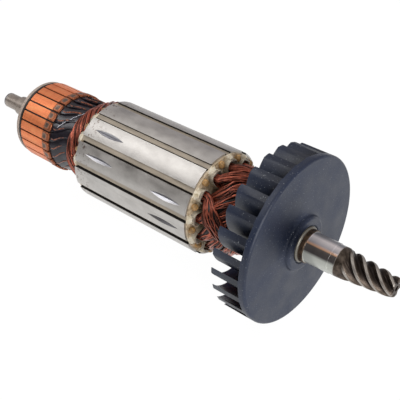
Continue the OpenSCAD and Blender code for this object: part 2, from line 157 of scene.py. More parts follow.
class Surface:
    """Gathers grids of points into one mesh, with an optional number per point for the material."""

    def __init__(self):
        self.points, self.faces, self.values, self.count = [], [], [], 0

    def add(self, grid, wrap_rows=False, value=0.0):
        """Adds a closed grid of rows x columns points and turns its faces outwards.

        Each row is a ring, whose points join the next in the ring and in the next row. The last row joins
        the first where the rows wrap, and else both end rows are capped.
        """
        rows, columns = grid.shape[:2]
        points = grid.reshape(-1, 3)
        r = np.arange(rows if wrap_rows else rows - 1)[:, None] * columns
        c = np.arange(columns)
        r2, c2 = (r + columns) % (rows * columns), (c + 1) % columns
        sides = np.stack([r + c, r + c2, r2 + c2, r2 + c], axis=-1).reshape(-1, 4)
        caps = [] if wrap_rows else [c[::-1], c + (rows - 1) * columns]
        # Six times the volume inside, above 0 if the faces point out: the sum of their wedges from the origin
        wedges = 0.0
        for corners in (sides, *(cap[None] for cap in caps)):
            p = points[corners]
            wedges += np.einsum("ik,ijk->", p[:, 0], np.cross(p[:, 1:-1], p[:, 2:]))
        step = -1 if wedges < 0 else 1
        for corners in (sides, *(cap[None] for cap in caps)):
            self.faces += (corners[:, ::step] + self.count).tolist()
        self.points.append(points)
        self.values.append(np.broadcast_to(value, grid.shape[:2]).reshape(-1))
        self.count += rows * columns

    def finish(self, name, material, nodes=(), smooth_angle=35.0, attribute=None):
        """Makes the object, in metres, shaded smooth up to an angle, and puts it in the solids' place."""
        mesh = bpy.data.meshes.new(name)
        mesh.from_pydata((np.concatenate(self.points) * MM).tolist(), [], self.faces)
        mesh.update()
        mesh.polygons.foreach_set("use_smooth", np.ones(len(mesh.polygons), dtype=bool))
        mesh.set_sharp_from_angle(angle=rad(smooth_angle))
        if attribute:
            layer = mesh.attributes.new(attribute, "FLOAT", "POINT")
            layer.data.foreach_set("value", np.concatenate(self.values).astype(np.float32))
        mesh.materials.append(material)
        piece = bpy.data.objects.new(name, mesh)
        bpy.context.scene.collection.objects.link(piece)
        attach(piece, "root")
        if nodes:
            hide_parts(*nodes)
        return piece


# Small tools for materials

def linear(code):
    """Linear colour of an sRGB hex value."""
    srgb = np.array([int(code[i:i + 2], 16) for i in (0, 2, 4)]) / 255.0
    value = np.where(srgb <= 0.04045, srgb / 12.92, ((srgb + 0.055) / 1.055) ** 2.4)
    return (*value.tolist(), 1.0)


def shaded(colour, share):
    """The colour, darker below a share of 1 and lighter above it."""
    return (*[min(1.0, float(c) * share) for c in colour[:3]], 1.0)


class Value:
    """Output of a node, for formulas: each sign of arithmetic joins it to a number or another output."""

    def __init__(self, nodes, socket):
        self.nodes, self.socket = nodes, socket

    def math(self, operation, *others):
        return self.nodes.add("Math", dict(enumerate((self, *others))), operation=operation)

    __add__ = partialmethod(math, "ADD")
    __sub__ = partialmethod(math, "SUBTRACT")
    __rsub__ = partialmethod(math, "MULTIPLY_ADD", -1.0)
    __mul__ = partialmethod(math, "MULTIPLY")
    __lt__ = partialmethod(math, "LESS_THAN")
    __gt__ = partialmethod(math, "GREATER_THAN")


class Nodes:
    """A node tree and the formulas that its materials share."""

    def __init__(self, tree):
        self.tree = tree

    def plug(self, socket, given):
        """Links a value to a socket, or sets the socket to a number, a colour or an sRGB hex value."""
        if isinstance(given, Value):
            self.tree.links.new(given.socket, socket)
        else:
            socket.default_value = linear(given) if isinstance(given, str) else given

    def add(self, kind, inputs=None, output=0, stops=(), **settings):
        """Adds a node with its settings and inputs and hands on one output; stops are a ramp's colours."""
        made = self.tree.nodes.new("ShaderNode" + kind)
        for key, setting in settings.items():
            setattr(made, key, setting)
        for key, given in (inputs or {}).items():
            self.plug(made.inputs[key], given)
        if stops:
            bar = made.color_ramp
            while len(bar.elements) < len(stops):
                bar.elements.new(0.5)
            for element, (position, colour) in zip(bar.elements, stops):
                element.position, element.color = position, colour
        return Value(self, made.outputs[output])

    def tones(self, factor, base, *stops):
        """Colour along a factor: a stop is a place and a share of the base colour or an sRGB hex value."""
        stops = [(place, linear(tone) if isinstance(tone, str) else shaded(base, tone))
                 for place, tone in stops]
        return self.add("ValToRGB", {0: factor}, stops=stops)

    def carried(self, name):
        """The number that the surface carries under a name at each of its points."""
        return self.add("Attribute", output="Fac", attribute_name=name)

    def share(self, value, low, high, kind="LINEAR"):
        """How far the value is on its way from low to high, from 0 to 1."""
        return self.add("MapRange", {0: value, 1: low, 2: high}, interpolation_type=kind)

    def between(self, value, low, high, soft):
        """1 where the value lies between low and high, fading smoothly over soft at both ends."""
        rise = self.share(value, low - soft, low + soft, "SMOOTHSTEP")
        return rise * self.share(value, high + soft, high - soft, "SMOOTHSTEP")

    def layers(self, tone, *coats):
        """Colours laid over a tone one after the other, each (share, colour) by its share."""
        for share, colour in coats:
            tone = self.add("Mix", {0: share, 6: tone, 7: colour}, output=2, data_type="RGBA")
        return tone


class Finish(Nodes):
    """A material with its coordinates in millimetres, straight (x, y, z) and round the shaft (x, arc, r)."""

    def __init__(self, name, **principled):
        self.material = bpy.data.materials.new(name)
        self.material.use_nodes = True
        super().__init__(self.material.node_tree)
        self.set(**principled)
        place = self.add("TexCoord", output="Object")
        self.mm = self.add("VectorMath", {0: place, "Scale": 1 / MM}, operation="SCALE")
        self.x, y, z = (self.add("SeparateXYZ", {0: self.mm}, output=axis) for axis in range(3))
        self.angle = z.math("ARCTAN2", y)
        self.r = (y * y + z * z).math("SQRT")

    def set(self, **principled):
        for key, given in principled.items():
            self.plug(self.tree.nodes["Principled BSDF"].inputs[key.replace("_", " ")], given)

    def grain(self, size, stretch=(1, 1, 1), detail=3.0, roughness=0.55, radius=None):
        """Noise with grains of about size, longer along an axis by stretch.

        With a radius it runs round the shaft, as long there as on a drum of that radius.
        """
        source = self.mm
        if radius:
            source = self.add("CombineXYZ", {0: self.x, 1: self.angle * radius, 2: self.r})
        scale = tuple(1.0 / (size * s) for s in stretch)
        place = self.add("VectorMath", {0: source, 1: scale}, operation="MULTIPLY")
        return self.add("TexNoise", {"Vector": place, "Scale": 1.0, "Detail": detail, "Roughness": roughness})

    def bump(self, height, distance):
        """Raises the surface by a height from 0 to 1, which stands for a distance; hands on the material."""
        self.set(Normal=self.add("Bump", {"Height": height, "Distance": distance * MM, "Strength": 1.0}))
        return self.material


def ground_steel(base):
    """Hardened steel, turned and ground: a soft mirror with fine rings and brown stains."""
    f = Finish("hardened steel, ground")
    cloud = f.grain(5.0, detail=4.0)
    stain = f.between(f.x, SHAFT_X0 + 1.3, SHAFT_X0 + 15.3, 3.0)
    end = f.between(f.x, SHAFT_X0 - 10.0, SHAFT_X0 + 1.1, 0.5)
    specks = f.grain(0.45, detail=1.0) > 0.76
    # What the seat mirrors is painted by the angle: light bands above, a warm line, a dark band, light below
    seat = f.between(f.x, -5.2, 9.5, 0.3)
    turn = f.share(f.angle.math("FLOORED_MODULO", rad(360.0)), rad(45.0), rad(230.0))
    bands = f.tones(turn, base, (0.0, "77777C"), (0.2, "8E8E94"), (0.28, "E0D8DA"), (0.4, "9C989E"),
                    (0.455, "C08E68"), (0.475, "35302F"), (0.6, "2A272C"), (0.66, "B2B6AF"), (0.85, "D6DAD2"),
                    (1.0, "9A9C98"))
    tone = f.layers(f.tones(cloud, base, (0.3, 0.72), (0.5, 1.0), (0.7, 1.12)), (stain * 0.5, "7C6A5C"),
                    (end * 0.6, "2C3F63"), (specks * 0.6, "54504C"), (seat * 0.9, bands))
    matt = seat * 0.75 + (f.x < SHAFT_X0 + 28.3) * 0.5
    f.set(Base_Color=tone, Metallic=1.0 - matt, Roughness=f.share(cloud, -0.5, 2.4) - seat * 0.15)
    return f.bump(f.grain(0.22, stretch=(1, 60, 60), detail=2.0), 0.004)


def cut_steel(base):
    """Hardened steel as the gear cutter left it: brown oil film on the flanks and thin bright crests, with
    painted shade deep in the tooth spaces, in the band where the teeth start and in the centre hole.
    """
    f = Finish("hardened steel, hobbed", Metallic=0.9)
    cloud = f.grain(2.0, detail=4.0)
    worn = f.carried("depth") + (cloud - 0.5) * 0.12
    film = f.tones(cloud, base, (0.3, "3E362F"), (0.55, "62574E"), (0.75, "7C7066"))
    crest = f.tones(worn, base, (0.0, "FFFFFF"), (0.04, "808080"), (0.09, "000000"))
    # Painted shade: the deeper the carried depth, the darker, in the tooth spaces, the band where the teeth
    # start and the centre hole
    deep_shade = f.tones(worn, base, (0.35, "000000"), (0.95, "FFFFFF"))
    f.set(Base_Color=f.layers(film, (deep_shade, "2A2320"), (crest, shaded(base, 0.8))),
          Roughness=f.share(cloud, -0.9, 2.1))
    return f.bump(f.grain(0.25, stretch=(1, 12, 12), detail=2.0), 0.01)


def turned_bush(base):
    """Free-cutting steel, turned: dull grey face, with the nose painted dark brown for baked grease and
    painted shade.
    """
    f = Finish("bush steel, turned", Metallic=0.6, Roughness=0.4)
    nose = f.between(f.x, BUSH_X1 - 1.9, BUSH_X1 + 1.0, 0.1)
    # The nose is painted dark brown: baked grease, and painted shade where the nose sits deep in the boss
    grease_and_shade = f.tones(f.grain(1.2), base, (0.3, "2E241D"), (0.6, "5A4838"))
    f.set(Base_Color=f.layers(base, (nose, grease_and_shade)))
    return f.bump(f.grain(0.3, stretch=(40, 60, 1), detail=1.0), 0.008)


def lamination_steel(base):
    """Punched electrical steel sheets, 0.5 mm each, stacked and skimmed: silver, joints as fine lines."""
    f = Finish("electrical steel sheets, stacked", Metallic=0.9)
    per_mm, round_core = 2.0, {"radius": 20.0}
    joint = ((f.x * per_mm).math("FRACT") - 0.5).math("ABSOLUTE")
    line = f.share(joint, 0.3, 0.5) * f.share(f.grain(4.0, **round_core), 0.35, 0.62)
    waver = f.grain(5.0, stretch=(2, 1, 1), detail=4.0, **round_core)
    near_end = f.between(f.x, CORE_X0 - 4.0, CORE_X0 + 7.0, 5.0)
    pits = f.share(f.grain(0.8, stretch=(1, 1.6, 1), detail=4.0, **round_core), 0.60, 0.63)
    specks = f.share(f.grain(0.35, detail=2.0), 0.72, 0.76) * 0.35
    rust = (pits * (near_end * 0.75)).math("MAXIMUM", specks)

    # What lies under the skimmed face is a slot's side wall near a slot, painted near black as shade but for
    # those that face the camera, and else a milled balancing cut, brighter than the tooth
    step = (f.angle - rad(INDEX)).math("FLOORED_MODULO", rad(SLOT_PITCH))
    off = (step - rad(SLOT_PITCH / 2)).math("ABSOLUTE")
    near_slot = rad(4.6)
    below = f.r < CORE_R - 0.07
    lit = f.between(f.angle, rad(122.0), rad(158.0), rad(6.0))
    wall_shade = (off < near_slot) * below * (1.0 - lit * 0.75)
    milled = (off > near_slot) * below * f.between(f.x, CORE_X0 + 1.0, CORE_X1 - 1.0, 0.2)
    tone = f.layers(f.tones(waver, base, (0.3, 0.84), (0.5, 1.0), (0.72, 1.12)), (line * 0.6, "6F6B66"),
                    (rust, "5E4436"), (milled, "A6A6AB"), (wall_shade * 0.92, "1E1B18"))
    f.set(Base_Color=tone, Roughness=f.share(waver, -0.5, 1.7) - milled * 0.1 + wall_shade * 0.3)
    return f.bump(waver - line * 0.3, 0.02)


def insulator_fibre(base):
    """Vulcanised fibre soaked in varnish: tan where the varnish sits on the posts, cream on the tongues."""
    f = Finish("vulcanised fibre, varnished", Roughness=0.42)
    cloud = f.grain(1.4, detail=4.0)
    cream = f.tones(cloud, base, (0.3, "BBAA88"), (0.46, "EADDC2"), (0.7, "FAF4E4"))
    tan = f.tones(cloud, base, (0.3, 0.5), (0.5, 1.0), (0.7, 1.7))
    f.set(Base_Color=f.layers(cream, (f.carried("tan"), tan)))
    return f.bump(f.grain(0.6), 0.08)


def liner_paper(base):
    """Polyester insulating paper: cream, soft sheen, with soiled edges."""
    f = Finish("insulating paper", Roughness=0.5)
    cloud = f.grain(2.0, stretch=(4, 1, 1), detail=4.0)
    f.set(Base_Color=f.tones(cloud, base, (0.28, "7E7465"), (0.45, 1.0), (0.7, 1.2)))
    return f.bump(f.grain(0.5, detail=2.0), 0.03)


def wedge_strip(base):
    """Slot strips: greyish beige with a film of steel dust from the skimming, painted dark as shade in the
    gaps beside.
    """
    f = Finish("slot strip, soiled", Roughness=0.45, Metallic=0.25)
    tone = f.tones(f.grain(2.5, stretch=(5, 1, 1), detail=4.0), base, (0.3, 0.72), (0.5, 1.0), (0.7, 1.2))
    past = 1.0 - f.between(f.x, CORE_X0, CORE_X1, 0.05)
    # Painted shade: within the core, the strip deeper than the skimmed face, in the gaps beside the teeth, is
    # near black
    clear_of_shade = f.share(f.r, CORE_R - 1.3, CORE_R - 0.85).math("MAXIMUM", past)
    f.set(Base_Color=f.layers(linear("26221D"), (clear_of_shade, tone)))
    return f.bump(f.grain(0.5, detail=2.0), 0.02)


def winding_wire(base):
    """Enamelled copper wire under reddish-brown varnish: glossy, each turn its own tone, over a core tube
    painted near black as the shade between the wires.
    """
    f = Finish("enamelled copper wire, varnished", Metallic=0.6, Roughness=0.3, Coat_Weight=0.15,
               Coat_Roughness=0.25)
    own = f.carried("tint")
    f.set(Base_Color=f.tones(f.grain(1.8, detail=4.0) * 0.55 + own * 0.45, base,
                             (0.12, "140A0A"), (0.32, 0.3), (0.52, 1.0), (0.85, 2.6)))
    return f.material


def lead_varnish(base):
    """Copper leads set in thick dark impregnating varnish: near black and glossy, copper along the ridges,
    and a pale painted highlight along one glossy streak.
    """
    f = Finish("copper leads, dark varnish", Metallic=0.2, Roughness=0.34, Coat_Weight=0.25,
               Coat_Roughness=0.2)
    edge = f.carried("edge")
    bare = f.share(edge, 0.3, 0.8) * f.share(f.grain(1.6), 0.32, 0.5)
    copper = f.tones(f.grain(0.8), base, (0.3, "5E2F22"), (0.52, "96573E"), (0.75, "CC8460"))
    pool = f.tones(f.grain(3.0), base, (0.3, 0.7), (0.7, 1.8))
    # Painted highlight: the thin tube across the leads is pale, for the glossy streak along the varnish
    highlight_streak = f.share(edge, -0.4, -0.9)
    f.set(Base_Color=f.layers(pool, (bare, copper), (highlight_streak, "C9CBD6")))
    return f.bump(f.grain(1.2), 0.05)


def commutator_copper(base):
    """Silver-bearing copper, turned: bright orange, with fine marks along each bar, each of its own tone."""
    f = Finish("commutator copper, turned", Metallic=0.5, Roughness=0.4)
    lines = f.grain(0.3, stretch=(30, 1, 1), radius=TRACK_R)
    cross = f.grain(0.5, stretch=(1, 14, 1), radius=TRACK_R, detail=2.0)
    cloud = f.grain(3.0, stretch=(3, 1, 1), radius=TRACK_R)
    tone = f.tones(lines * 0.4 + (cloud * 0.35 + cross * 0.25), base, (0.34, 0.62), (0.5, 1.0), (0.64, 1.4))
    bar = (f.angle - rad(INDEX)).math("DIVIDE", rad(BAR_PITCH)).math("FLOOR")
    own = f.add("TexWhiteNoise", {"W": bar}, output="Value", noise_dimensions="1D")
    hooks = f.between(f.x, BAR_X1 - 5.4, BAR_X1 + 3.0, 0.3)
    scorched = f.tones(f.grain(0.9, detail=4.0), base, (0.35, "5E3B2C"), (0.52, "8A5238"), (0.7, "B06E48"))
    end = f.between(f.x, BAR_X0 - 1.0, BAR_X0 + 0.25, 0.15)
    # Painted shade: faces below the track, on the bars' sides in the joints, under the bars and on the
    # chamfer by the hooks, are near black
    sunk_shade = f.r < TRACK_R - 0.44
    f.set(Base_Color=f.layers(tone, (own * 0.28, "7A4630"), (end * 0.7, "5A3A2B"), (hooks, scorched),
                              (sunk_shade * 0.85, "2A1C17")))
    return f.bump(lines, 0.01)


def staked_hook(base):
    """Copper tang after hot staking: scorched grey-brown dent in the middle, orange round its edge."""
    f = Finish("commutator copper, staked", Metallic=0.6, Roughness=0.42)
    cloud = f.grain(0.9, detail=4.0)
    worn = f.carried("dent") + (cloud - 0.5) * 0.9
    f.set(Base_Color=f.tones(worn, base, (0.0, 0.9), (0.2, 1.8), (0.45, "8A7262"), (1.0, "62524A")))
    return f.bump(cloud, 0.06)


def moulding_resin(base):
    """Phenolic moulding resin with glass and mica: dull brown grey on the end ring, painted near black
    between the bars as the shade in the joints.
    """
    f = Finish("phenolic moulding resin", Roughness=0.5)
    ring = f.between(f.x, HUB_X0 - 1.0, HUB_X0 + 1.5, 0.1)
    tone = f.tones(f.grain(0.8, detail=4.0), base, (0.3, 0.6), (0.55, 1.0), (0.8, 1.4))
    # All but the end ring is painted near black: painted shade in the joints between the bars
    f.set(Base_Color=f.layers(linear("241C18"), (ring, tone)))
    return f.bump(f.grain(0.4, detail=2.0), 0.03)


def fan_nylon(base):
    """Glass-filled nylon, moulded: dark slate with a satin sheen, fine grain and pale dust, and painted shade
    in a sector of the face and on the blades toward the disc.
    """
    f = Finish("glass-filled nylon, moulded")
    cloud = f.grain(9.0)
    dust = f.share(f.grain(0.55, detail=2.0, roughness=0.4), 0.68, 0.72) * f.share(f.grain(12.0), 0.3, 0.55)
    grime = f.share(f.grain(0.5, detail=5.0, roughness=0.75), 0.5, 0.75) * 0.08
    # The face is painted darker, with less sheen, in a sector on one side of the boss, drawn by the angle
    # round the shaft: painted shade where the shaft hides the floor's reflection
    shaded_sector = f.between(f.angle, rad(105.0), rad(165.0), rad(28.0)) * f.share(f.r, FAN_R, 10.0)
    shaded_sector = shaded_sector * f.between(f.x, -11.5, 0.0, 0.4)
    # Painted shade: blades and hub behind the disc grow darker toward the disc, as the shade between the
    # blades
    foot_x = -14.0
    blade_shade = f.share(f.x, FAN_X0 + 1.0, foot_x) * (f.x < foot_x + 1.1)
    tone = f.layers(f.tones(cloud, base, (0.3, 0.85), (0.7, 1.15)), (shaded_sector, shaded(base, 0.3)),
                    (blade_shade * 0.75, shaded(base, 0.2)), ((dust * 0.5).math("MAXIMUM", grime), "969BA0"))
    f.set(Base_Color=tone, Specular_IOR_Level=0.45 - shaded_sector * 0.4, Roughness=f.share(cloud, -0.6, 1.9))
    return f.bump(f.grain(0.35, detail=2.0), 0.02)


def sleeve_plastic(base):
    """Glass-filled polyester sleeve: dull tan."""
    f = Finish("glass-filled polyester", Roughness=0.6)
    f.set(Base_Color=f.tones(f.grain(1.5), base, (0.3, 0.7), (0.7, 1.0)))
    return f.material


def colour(context, name):
    """The colour that is set for a finish."""
    return tuple(getattr(context.scene.armature_colour, name))


def dress(node, material):
    """Gives a solid that keeps its own shape its finish."""
    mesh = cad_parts[node].data
    mesh.materials.clear()
    mesh.materials.append(material)


# Settings

def size(name, description, default, unit="mm", **limits):
    """Setting for a measure in a unit."""
    return FloatProperty(name=name, description=f"{description}, in {unit}", default=default, **limits)


def count(name, description, default, **limits):
    """Setting for a whole number."""
    return IntProperty(name=name, description=description, default=default, **limits)


def paint(name, code, things):
    """Setting for the colour of some things, whose default is an sRGB hex value."""
    return FloatVectorProperty(name=name, description=f"Colour of {things}", subtype="COLOR", size=4,
                               min=0.0, max=1.0, default=linear(code))


class ArmatureShaftSettings(bpy.types.PropertyGroup):
    """Sizes of the shaft and pinion."""
    seat_d: size("Drive seat diameter", "Diameter of the drive-end bearing seat", 12.0, min=8.0, max=16.0)
    seat_half: size("Half the seat", "Half of the drive seat's length", 5.0)
    body_step: size("Body step", "Step from the seat up to the body and down to the relief", 0.2)
    pinion_start: size("Pinion start", "Station where the toothed stretch starts", 7.6, min=0.0, max=20.0)
    neck_d: size("Neck diameter", "Diameter under the commutator", 9.0)
    neck_start: size("Neck start", "Station of the step down to the neck", -129.3)
    stub_d: size("Stub diameter", "Diameter of the commutator-end seat", 7.0)
    stub_start: size("Stub start", "Station of the step down to the stub", -171.3)
    teeth: count("Teeth", "Number of pinion teeth", 5, min=3, max=12)
    tip_d: size("Tip diameter", "Outer diameter at the pinion's tip", 7.6)
    lead: size("Lead", "Advance of a tooth in a full turn", 26.5)
    depth: size("Tooth depth", "Depth of the tooth spaces at the big end", 1.8)
    run_out: size("Run-out", "Length over which a tooth space fades out", 5.5)
    crest_x: size("Crest station", "Station at which a tooth's crest has the crest angle", 14.7)
    crest_angle: size("Crest angle", "Angle of that crest round the shaft", 137.7, "degrees")
    hole_d: size("Centre hole", "Diameter of the centre hole", 1.9)


class ArmatureFanSettings(bpy.types.PropertyGroup):
    """Sizes of the fan."""
    disc_t: size("Disc thickness", "Thickness of the fan's disc", 2.9)
    boss_d: size("Boss diameter", "Diameter of the boss's flat face", 22.0)
    boss_h: size("Boss height", "Height of the boss", 2.4)
    hub_len: size("Hub length", "Length of the hub behind the disc", 10.0)
    blades: count("Blades", "Number of blades", 26, min=8, max=60)
    blade_t: size("Blade thickness", "Thickness of a blade", 1.3)
    blade_r: size("Blade curve", "Radius of a blade's curve", 13.7)
    blade_lean: size("Blade lean", "Angle of a blade to the radius at the rim", 60.0, "degrees")
    blade_index: size("Blade index", "Angle of the first blade", -1.2, "degrees")


class ArmatureWindingSettings(bpy.types.PropertyGroup):
    """Sizes of the winding."""
    wire_d: size("Wire diameter", "Diameter over the enamel", 0.54)
    wires: count("Wires", "Wires that show round each bundle", 25, min=4, max=40)
    strays: count("Stray wires", "Wires that stand off each bundle", 3, min=0, max=10)
    fan_overhang: size("Fan overhang", "Overhang of the heads towards the fan", 14.0)
    comm_overhang: size("Commutator overhang", "Overhang of the heads towards the commutator", 8.5)
    out_r: size("Outer side radius", "Radius of the outer coil sides", 16.5)
    in_r: size("Inner side radius", "Radius of the inner coil sides", 12.9)
    index: size("Index angle", "Angle of the first tooth", INDEX, "degrees")
    top_coil: count("Last coil", "Number of the coil that was wound last, from 0", 9)
    seed: count("Seed", "Seed of the wires' small wanderings", 4)


class ArmatureColourSettings(bpy.types.PropertyGroup):
    """Main colour of each finish."""
    steel: paint("Shaft steel", "BDB6AE", "the ground shaft and the pinion's crests")
    bush: paint("Bush steel", "77736A", "the bush's turned face")
    sheets: paint("Core sheets", "C6C3BF", "the laminated core")
    fibre: paint("Fibre", "B48E5C", "the insulators' posts")
    paper: paint("Liner paper", "C9C1AE", "the slot liners")
    strip: paint("Slot strips", "ADA292", "the strips that close the slots")
    wire: paint("Winding wire", "9E5440", "the winding's wire")
    varnish: paint("Varnish", "1A1720", "the varnish over the leads")
    copper: paint("Bars", "FF925C", "the commutator's bars")
    tang: paint("Tangs", "96583A", "the hooks' edges")
    resin: paint("Resin", "B6A69A", "the commutator's end ring")
    nylon: paint("Fan", "1C263C", "the fan")
    sleeve: paint("Sleeve", "8A7458", "the shaft's insulating sleeve")


class ArmatureStageSettings(bpy.types.PropertyGroup):
    """Camera, floor and lamps."""
    floor_z: size("Floor height", "Height of the floor", -34.2)
    focal: size("Lens", "Focal length for a sensor 36 mm wide", 72.72)
    camera_at: FloatVectorProperty(name="Camera place", description="Place of the camera, in mm",
                                   default=(115.38, -202.84, 184.59))
    key_power: size("Key lamp", "Power of the lamp above the core", 0.55, "watts")
    fill_power: size("Fill lamp", "Power of the lamp beside the pinion", 2.5, "watts")
    side_power: size("Side lamp", "Power of the lamp beside the commutator", 0.13, "watts")
    paper_glow: FloatProperty(name="Paper glow", default=1.05,
                              description="Brightness of the white paper as the camera sees it")


# Pieces

class ARMATURE_OT_shaft(bpy.types.Operator):
    """Builds the shaft with its helical pinion"""
    bl_idname = "armature.shaft"
    bl_label = "Shaft"

    def execute(self, context):
        s = context.scene.armature_shaft
        columns = s.teeth * 36
        seat, neck, stub = s.seat_d / 2, s.neck_d / 2, s.stub_d / 2
        body, relief = seat + s.body_step, seat - s.body_step
        chamfer, x0, x1, start = 0.5, SHAFT_X0, SHAFT_X1, s.pinion_start
        plain = around(rounded([
            (x0, 0.02, 0), (x0, stub - chamfer, 0.15), (x0 + chamfer, stub, 0.3),
            (s.stub_start - 0.4, stub, 0.2), (s.stub_start, stub + 0.3, 0.1),
            (s.stub_start, neck - chamfer, 0.1), (s.stub_start + chamfer, neck, 0.3),
            (s.neck_start, neck, 0.2), (s.neck_start, body - chamfer, 0.1),
            (s.neck_start + chamfer, body, 0.2), (-s.seat_half, body, 0.05), (-s.seat_half, seat, 0.05),
            (s.seat_half, seat, 0.05), (s.seat_half + 0.15, relief, 0.1), (start - 0.4, relief, 0)]), columns)

        # Pinion: crests turn with the lead and taper to the tip. The radius falls by a smooth space between
        # them, whose depth fades in over the run-out, later in its middle. The last rows round the tip off.
        edge = x1 - chamfer
        x = np.concatenate([np.linspace(start - 0.2, edge, 150), edge + chamfer * np.array([0.35, 0.7, 1.0])])
        shrink = np.concatenate([np.zeros(150), [0.05, 0.2, 0.5]])[:, None]
        past, toothed, taper_x = (x - start)[:, None], x1 - start, s.run_out / 4
        crest = relief + (s.tip_d / 2 - relief) * np.clip(past - taper_x, 0, None) / (toothed - taper_x)
        degrees = 360.0 * np.arange(columns) / columns
        turn = rad(degrees)
        share = (degrees - s.crest_angle - 360.0 * (x[:, None] - s.crest_x) / s.lead) * s.teeth / 360.0 % 1.0
        near = np.minimum(share, 1 - share)
        fade = ease(0, s.run_out, past + (0.25 - near) * 5.0)
        form = ease(0.09, 0.38, near) * (0.82 + 0.18 * ease(0.3, 0.5, near))
        radius = crest - s.depth * fade * (1 - 0.25 * past / toothed) * form - shrink
        # Depth that the hobbed finish carries: the spaces' depth and a band where the teeth start, which it
        # paints dark as shade
        film = form * fade + 0.4 * (1 - fade) * ease(0.1, 0.5, past)

        # Flat end with its centre hole
        hole = s.hole_d / 2
        way = np.array([0.5, 1.0])[:, None]
        end = at(x1, radius[-1] * (1 - way) + (hole + 0.25) * way, turn)
        bore = around(np.array([(x1 - 0.25, hole), (x1 - 2.6, hole * 0.9), (x1 - 3.0, 0.02)]), columns)
        rows = len(plain)
        # The end face carries 0.5 and the centre hole 1.4, so the finish paints them partly and fully dark as
        # shade
        value = np.concatenate([np.full((rows, columns), -1.0), film, np.full((2, columns), 0.5),
                                np.full((3, columns), 1.4)])
        shaft = Surface()
        shaft.add(np.concatenate([plain, at(x[:, None], radius, turn), end, bore]), value=value)
        steel = colour(context, "steel")
        piece = shaft.finish("shaft_turned", ground_steel(steel), ["shaft"], 40.0, "depth")
        piece.data.materials.append(cut_steel(steel))
        # The second finish is for all faces past the plain rows but the far cap, which is last but one
        index = np.zeros(len(piece.data.polygons), dtype=np.int32)
        index[(rows + 1) * columns:] = 1
        index[-2] = 0
        piece.data.polygons.foreach_set("material_index", index)
        return {"FINISHED"}


class ARMATURE_OT_bush(bpy.types.Operator):
    """Builds the steel bush that the fan is moulded on"""
    bl_idname = "armature.bush"
    bl_label = "Fan bush"

    def execute(self, context):
        x0, x1, r = BUSH_X0, BUSH_X1, BUSH_R
        nose_x, nose_r, bore = x1 - 2.0, 6.6, 6.22
        profile = rounded([(x0 + 0.01, bore, 0), (x0, r - 0.2, 0.1), (x0 + 0.2, r, 0.1),
                           (nose_x - 0.4, r, 0.15), (nose_x, r - 0.4, 0.15), (nose_x, nose_r, 0.1),
                           (x1 - 0.25, nose_r, 0.12), (x1, nose_r - 0.2, 0.1), (x1, bore, 0)])
        bush = Surface()
        bush.add(around(profile, 128), wrap_rows=True)
        bush.finish("fan_bush_turned", turned_bush(colour(context, "bush")), ["fan_bush"])
        return {"FINISHED"}


class ARMATURE_OT_fan(bpy.types.Operator):
    """Builds the fan: disc, boss, hub and curved blades"""
    bl_idname = "armature.fan"
    bl_label = "Fan"

    def execute(self, context):
        s = context.scene.armature_fan
        r, boss_x, bush, boss = FAN_R, FAN_X1, BUSH_R, s.boss_d / 2
        face_x = boss_x - s.boss_h
        back_x = face_x - s.disc_t
        hub_x = back_x - s.hub_len
        profile = rounded([(hub_x, bush + 0.02, 0), (hub_x, boss - 1.0, 0.3), (back_x - 0.6, boss - 0.1, 0.8),
                           (back_x, boss + 0.6, 0.3), (back_x, r - 0.1, 0.15), (back_x + 0.2, r, 0.2),
                           (face_x - 0.7, r, 0.5), (face_x, r - 0.7, 0.5), (face_x, boss + 1.8, 1.4),
                           (face_x + 0.5, boss + 0.35, 0.6), (boss_x - 0.7, boss - 0.02, 0.4),
                           (boss_x, boss - 0.7, 0.5), (boss_x, bush + 0.55, 0.2),
                           (boss_x - 0.6, bush + 0.35, 0.1), (boss_x - 0.6, bush + 0.02, 0)], steps=5)
        disc = Surface()
        disc.add(around(profile, 256), wrap_rows=True)
        material = fan_nylon(colour(context, "nylon"))
        disc.finish("fan_disc", material, ["fan"])

        lean, curve, half = rad(s.blade_lean), s.blade_r, s.blade_t / 2
        centre = np.array([r - curve * np.sin(lean), -curve * np.cos(lean) + half])
        reach = np.hypot(*centre)

        def outline(inset):
            """A band along an arc: its sides are the arc moved out and in, its outer end follows the rim.

            A side starts at the angle where its own circle meets the rim, by the law of cosines, and the two
            sides meet in a rounded tip.
            """
            offset, end = half - inset, rad(90.0) - inset / curve
            t = np.linspace(0, 1, 15)
            parts = []
            for radius, order in ((curve - offset, t), (curve + offset, t[::-1])):
                cosine = ((r - inset) ** 2 - reach ** 2 - radius ** 2) / (2 * reach * radius)
                start = np.arccos(cosine) + np.arctan2(centre[1], centre[0])
                parts.append(at(0.0, radius, start + (end - start) * order))
            turn = rad(np.array([-60.0, -30.0, 0.0, 30.0, 60.0]))
            tip = at(0.0, curve + offset * np.sin(turn), end + 0.8 * offset * np.cos(turn) / curve)
            return np.concatenate([parts[0], tip, parts[1]]) + [0.0, *centre]

        levels = [(back_x + 0.5, 0.0), (FAN_X0 + 0.4, 0.0), (FAN_X0 + 0.12, 0.1), (FAN_X0, 0.32)]
        blade = np.stack([outline(inset) + [x, 0.0, 0.0] for x, inset in levels])
        blades = Surface()
        for i in range(s.blades):
            blades.add(spun(blade, rad(360.0 * i / s.blades + s.blade_index)))
        blades.finish("fan_blades", material, ["fan"])
        return {"FINISHED"}


def swell(x, turn):
    """Extra radius where the heads at the commutator bulge on one side: a smooth hump over x and angle."""
    off = (np.degrees(turn) - 46.0 + 180.0) % 360.0 - 180.0
    return 2.6 * np.exp(-(off / 20.0) ** 2) * ease(CORE_X0 - 2.0, CORE_X0 - 9.0, x)


